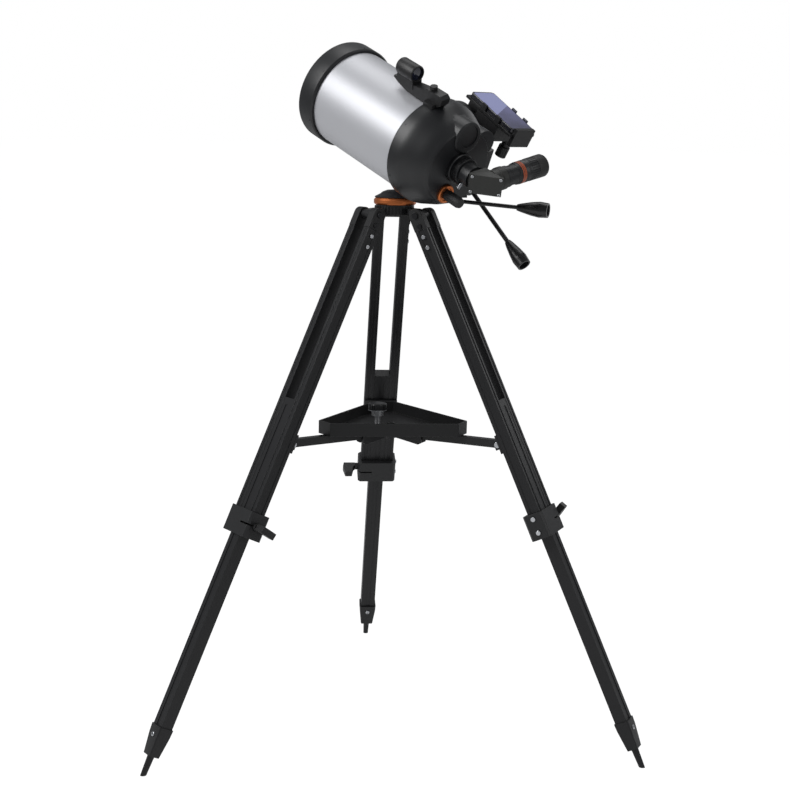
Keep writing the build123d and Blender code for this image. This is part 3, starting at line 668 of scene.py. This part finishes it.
@dataclass
class Tripod(SubAssembly):
    """The hub, three twin-rail legs, their clamps and shoes, the spreader and the tray."""

    title: str = "tripod"
    screw_down: float = 967.0
    shoe_half: float = 12.5
    screw_r: float = 4.2
    screw_h: float = 2.2

    def __post_init__(self) -> None:
        """Lists the tripod's nodes."""
        for leg in LEG_ANGLES:
            rail = rail_finish(leg)
            self.nodes[f"leg_rails_{leg}"] = (rail, 0.5)
            self.nodes[f"inner_leg_{leg}"] = (rail, 0.5)
            self.nodes[f"leg_fittings_{leg}"] = (PLASTIC, 0.8)
            self.nodes[f"leg_clamp_{leg}"] = (CLAMP_PLASTIC, 1.0)
            self.nodes[f"clamp_lever_{leg}"] = (PLASTIC, 0.8)
            self.nodes[f"leg_bolts_{leg}"] = (BOLTS, 0.5)
            self.nodes[f"spreader_arm_{leg}"] = (FRAME_BLACK, 0.5)
        self.nodes["tripod_hub"] = (FRAME_BLACK, 0.5)
        self.nodes["center_bracket"] = (FRAME_BLACK, 0.5)
        self.nodes["tray"] = (PLASTIC, 0.5)
        self.nodes["tray_knob"] = (TRAY_KNOB, 0.4)

    def detail(self) -> None:
        """Adds the bright screws on both faces of each shoe."""
        for leg, angle in LEG_ANGLES.items():
            axes = leg_axes(angle)
            seats = [axes.at(0, side * self.shoe_half, self.screw_down, toward=(0, side, 0))
                     for side in (-1, 1)]
            self.made.append(socket_heads(f"shoe_screws_{leg}", seats, self.screw_r, self.screw_h,
                                          f"inner_{leg}"))


@dataclass
class Mount(SubAssembly):
    """The single-arm head, its copper ring and the two slow-motion rods."""

    title: str = "mount"

    def __post_init__(self) -> None:
        """Lists the mount's nodes."""
        self.nodes = {
            "azimuth_ring": (COPPER, 0.4),
            "mount_arm": (FRAME_BLACK, 1.2),
            "azimuth_control": (FRAME_BLACK, 0.0),
            "azimuth_grip": (GRIP, 0.0),
            "altitude_control": (FRAME_BLACK, 0.0),
            "altitude_grip": (GRIP, 0.0),
            "altitude_saddle": (FRAME_BLACK, 0.8),
            "saddle_knob": (RUBBER, 0.4),
            "dovetail_bar": (FRAME_BLACK, 0.5),
        }


@dataclass
class OpticalTube(SubAssembly):
    """The tube, its two cells, the mirrors and the focuser."""

    title: str = "tube"
    cell_r: float = 93.0
    rim_count: int = 6
    rim_screw_r: float = 1.9
    rim_screw_h: float = 0.8
    rim_sink: float = 0.9985
    front_screws: float = -134.0
    rear_screws: float = 96.0
    ring_screws: float = 84.5
    ring_count: int = 8
    ring_screw_r: float = 1.7
    ring_screw_h: float = 0.7
    ring_proud: float = 0.1
    front_face: float = -166.0

    def __post_init__(self) -> None:
        """Lists the tube's nodes."""
        self.nodes = {
            "tube": (SILVER, 0.0),
            "front_cell": (CELL_BLACK, 0.5),
            "rear_cell": (CELL_BLACK, 0.8),
            "corrector_plate": (GLASS, 0.0),
            "secondary_mirror": (CELL_BLACK, 0.4),
            "baffle_tube": (PLASTIC, 0.0),
            "primary_mirror": (MIRROR, 0.0),
            "focuser_bezel": (COPPER, 0.3),
            "focus_knob": (RUBBER, 0.3),
            "visual_back": (CELL_BLACK, 0.3),
            "visual_back_screw": (STEEL, 0.0),
        }

    def rim(self, z: float) -> list[Axes]:
        """Gives six frames round a cell, z outward.

        Args:
            z: Distance along the tube.

        Returns:
            The frames.
        """
        turns = even_turns(self.rim_count)
        return [TUBE.at(self.cell_r * math.cos(t) * self.rim_sink, self.cell_r * math.sin(t) * self.rim_sink,
                        z, toward=(math.cos(t), math.sin(t), 0), across=(0, 0, 1)) for t in turns]

    def detail(self) -> None:
        """Adds the cells' small rim screws and those of the corrector's ring."""
        for name, z in (("rear_rim_screws", self.rear_screws), ("front_rim_screws", self.front_screws)):
            self.made.append(socket_heads(name, self.rim(z), self.rim_screw_r, self.rim_screw_h, "ota",
                                          finish=DARK_SCREW))
        seats = [TUBE.at(self.ring_screws * math.cos(t), self.ring_screws * math.sin(t),
                         self.front_face + self.ring_proud, toward=(0, 0, -1), across=(1, 0, 0))
                 for t in even_turns(self.ring_count)]
        self.made.append(socket_heads("corrector_ring_screws", seats, self.ring_screw_r, self.ring_screw_h,
                                      "ota", finish=DARK_SCREW))


@dataclass
class EyeEnd(SubAssembly):
    """The diagonal and the eyepiece, at the back of the tube."""

    title: str = "eye end"
    turn_z: float = 231.3
    lift: float = math.radians(14.5)
    plate_screws: tuple[float, float] = (-20.0, 28.0)
    plate_half: float = 14.0
    plate_face: float = 6.0
    plate_screw_r: float = 2.7
    plate_screw_h: float = 1.8
    rings: tuple[float, ...] = (75.6, 78.8, 82.0)
    ring_width: float = 0.0009
    eye_at: float = 109.4
    eye_r: float = 13.0
    eye_rise: float = 1.6

    def axes(self) -> Axes:
        """Gives the diagonal's frame, whose x is the eyepiece's axis."""
        return TUBE.at(0, 0, self.turn_z, across=(math.cos(self.lift), math.sin(self.lift), 0))

    def __post_init__(self) -> None:
        """Lists the eye end's nodes, and puts the orange rings where the eyepiece's band is."""
        axis = self.axes().matrix()[0]
        start = float(np.dot(axis, np.array(self.axes().origin)))
        band = Finish("eyepiece band with orange rings", (0.011, 0.011, 0.012), 0.42,
                      rings=tuple((start + d) * MM for d in self.rings), along_axis=tuple(axis),
                      ring_width=self.ring_width, second=(0.46, 0.085, 0.022))
        self.nodes = {
            "diagonal_body": (DIAGONAL_BLACK, 0.6),
            "diagonal_mirror": (MIRROR, 0.0),
            "diagonal_screw": (STEEL, 0.0),
            "eyepiece": (CELL_BLACK, 0.3),
            "eyepiece_band": (band, 0.2),
            "eyecup": (RUBBER, 0.4),
        }

    def detail(self) -> None:
        """Adds the plate's corner screws and the eye lens."""
        plate = self.axes().at(0, 0, 0, toward=(-1, 0, 1), across=(1, 0, 1))
        seats = [plate.at(x, side * self.plate_half, self.plate_face)
                 for x in self.plate_screws for side in (-1, 1)]
        self.made.append(socket_heads("plate_screws", seats, self.plate_screw_r, self.plate_screw_h,
                                      "diagonal"))
        outlet = self.axes().at(0, 0, 0, toward=(1, 0, 0), across=(0, 0, 1))
        self.made.append(lens("eye_lens", outlet.at(0, 0, self.eye_at), self.eye_r, self.eye_rise,
                              "eyepiece"))


@dataclass
class Finder(SubAssembly):
    """The small finder on its bracket."""

    title: str = "finder"
    turn: float = math.radians(20)
    height: float = 126.0
    lens_r: float = 11.9
    front: tuple[float, float] = (15.0, 1.4)    # each lens's place along the tube, and its rise
    rear: tuple[float, float] = (49.0, 1.2)

    def __post_init__(self) -> None:
        """Lists the finder's nodes."""
        self.nodes = {
            "finder_bracket": (PLASTIC, 0.8),
            "finder_tube": (PLASTIC, 0.4),
            "finder_knob": (RUBBER, 0.3),
        }

    def detail(self) -> None:
        """Adds a lens at each end of the finder's tube."""
        axes = TUBE.at(0, 0, 0, across=(math.cos(self.turn), math.sin(self.turn), 0))
        ahead = axes.at(0, self.height, self.front[0], toward=(0, 0, -1))
        behind = axes.at(0, self.height, self.rear[0])
        self.made.append(lens("finder_front_lens", ahead, self.lens_r, self.front[1], "ota"))
        self.made.append(lens("finder_rear_lens", behind, self.lens_r, self.rear[1], "ota"))


@dataclass
class PhoneDock(SubAssembly):
    """The dock beside the tube, with the phone lying in it."""

    title: str = "dock"
    screen_half: tuple[float, float] = (26.6, 57.6)
    screen_at: tuple[float, float, float] = (188, 57, 58)
    screen_up: tuple[float, float, float] = (0, 0.985, 0.174)
    screen_corner: float = 5.0
    screen_heights: tuple[float, float] = (3.6, 4.15)

    def __post_init__(self) -> None:
        """Lists the dock's nodes."""
        self.nodes = {
            "dock_bracket": (PLASTIC, 0.8),
            "dock_platform": (PLASTIC, 0.5),
            "dock_mirror": (MIRROR, 0.0),
            "dock_clamp": (FINGER, 0.5),
            "dock_knob": (RUBBER, 0.4),
            "phone": (PHONE_SHELL, 0.0),
        }

    def detail(self) -> None:
        """Adds the phone's screen."""
        seat = TUBE.at(*self.screen_at, toward=self.screen_up, across=(1, 0, 0))
        self.made.append(rounded_plate("phone_screen", seat, self.screen_half, self.screen_corner,
                                       self.screen_heights, "phone", SCREEN))


# ---------------------------------------------------------------- studio
@dataclass
class Studio:
    """The pale floor, the soft lights and the camera."""

    camera_at: tuple[float, float, float] = (-1.83852, -2.00123, 1.0989)
    right: tuple[float, float, float] = (0.7264, -0.6869, 0.021)
    up: tuple[float, float, float] = (0.1022, 0.1382, 0.9851)
    forward: tuple[float, float, float] = (0.6796, 0.7135, -0.1706)
    lens: float = 71.81
    aim: tuple[float, float, float] = (0.05, 0.02, 0.95)
    sensor: float = 36.0
    floor_reach: float = 60.0
    floor_share: float = 0.86       # how much of the seen floor is its own light
    floor_gray: float = 0.86
    floor_glow: float = 1.13
    surround_soft: float = 0.27
    surround_seen: float = 1.0

    def camera(self) -> None:
        """Makes the scene's camera."""
        data = bpy.data.cameras.new("view")
        data.lens = self.lens
        data.sensor_width = self.sensor
        made = bpy.data.objects.new("view", data)
        back = [-c for c in self.forward]
        turn = Matrix((self.right, self.up, back)).transposed()
        made.matrix_world = Matrix.Translation(self.camera_at) @ turn.to_4x4()
        bpy.context.scene.collection.objects.link(made)
        bpy.context.scene.camera = made

    def light(self, name: str, side: float, height: float, near: float, size: tuple[float, float],
              power: float) -> None:
        """Hangs one soft box and aims it at the telescope.

        Args:
            name: The light's name.
            side: Metres to the camera's right of the telescope.
            height: Metres over its middle.
            near: Metres toward the camera.
            size: The box's width and height in metres.
            power: Its power in watts.
        """
        data = bpy.data.lights.new(name, "AREA")
        data.shape = "RECTANGLE"
        data.size, data.size_y = size
        data.energy = power
        made = bpy.data.objects.new(name, data)
        flat = Vector((self.forward[0], self.forward[1], 0)).normalized()
        place = Vector(self.aim) + Vector(self.right) * side + Vector((0, 0, height)) - flat * near
        made.location = place
        made.rotation_mode = "QUATERNION"
        made.rotation_quaternion = (Vector(self.aim) - place).to_track_quat("-Z", "Y")
        bpy.context.scene.collection.objects.link(made)

    def floor(self) -> None:
        """Lays a pale floor that runs out to the white surround."""
        mesh = bpy.data.meshes.new("floor")
        reach = self.floor_reach
        corners = [(-reach, -reach, 0), (reach, -reach, 0), (reach, reach, 0), (-reach, reach, 0)]
        mesh.from_pydata(corners, [], [(0, 1, 2, 3)])
        made = bpy.data.objects.new("floor", mesh)
        pale = bpy.data.materials.new("pale floor")
        pale.use_nodes = True
        nodes, links = pale.node_tree.nodes, pale.node_tree.links
        nodes.clear()
        out, mix = nodes.new("ShaderNodeOutputMaterial"), nodes.new("ShaderNodeMixShader")
        matte, bright = nodes.new("ShaderNodeBsdfDiffuse"), nodes.new("ShaderNodeEmission")
        path, share = nodes.new("ShaderNodeLightPath"), nodes.new("ShaderNodeMath")
        share.operation = "MULTIPLY"
        share.inputs[1].default_value = self.floor_share
        matte.inputs["Color"].default_value = (self.floor_gray,) * 3 + (1,)
        bright.inputs["Color"].default_value = (1, 1, 1, 1)
        bright.inputs["Strength"].default_value = self.floor_glow
        links.new(path.outputs["Is Camera Ray"], share.inputs[0])
        links.new(share.outputs[0], mix.inputs[0])
        links.new(matte.outputs[0], mix.inputs[1])
        links.new(bright.outputs[0], mix.inputs[2])
        links.new(mix.outputs[0], out.inputs["Surface"])
        mesh.materials.append(pale)
        bpy.context.scene.collection.objects.link(made)

    def surround(self) -> None:
        """Makes the world white where it is seen and softer where it lights the telescope."""
        world = bpy.data.worlds.new("surround")
        world.use_nodes = True
        nodes, links = world.node_tree.nodes, world.node_tree.links
        nodes.clear()
        out, mix = nodes.new("ShaderNodeOutputWorld"), nodes.new("ShaderNodeMixShader")
        soft, seen = nodes.new("ShaderNodeBackground"), nodes.new("ShaderNodeBackground")
        path = nodes.new("ShaderNodeLightPath")
        soft.inputs["Color"].default_value = (0.95, 0.97, 1.0, 1)
        soft.inputs["Strength"].default_value = self.surround_soft
        seen.inputs["Color"].default_value = (1, 1, 1, 1)
        seen.inputs["Strength"].default_value = self.surround_seen
        links.new(path.outputs["Is Camera Ray"], mix.inputs[0])
        links.new(soft.outputs[0], mix.inputs[1])
        links.new(seen.outputs[0], mix.inputs[2])
        links.new(mix.outputs[0], out.inputs["Surface"])
        bpy.context.scene.world = world
        bpy.context.scene.view_settings.view_transform = "Standard"

    def build(self) -> None:
        """Sets up the whole studio."""
        self.camera()
        self.floor()
        self.surround()
        self.light("key box", -2.1, 1.6, 0.9, (1.7, 1.6), 66.0)
        self.light("fill box", 2.2, 0.7, 1.6, (0.9, 1.8), 13.0)
        self.light("top box", 0.2, 2.4, -0.6, (2.0, 1.4), 20.0)
        self.light("rim box", 1.6, 0.5, -2.2, (1.4, 1.8), 6.0)
        LOG.info("studio: floor, surround, four boxes and camera")


def main() -> None:
    """Builds the sub-assemblies and the studio in order."""
    logging.basicConfig(level=logging.INFO, format="%(name)s %(message)s")
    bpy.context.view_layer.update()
    for part in (Tripod(), Mount(), OpticalTube(), EyeEnd(), Finder(), PhoneDock()):
        part.build()
    Studio().build()


if __name__ == "__main__":
    main()
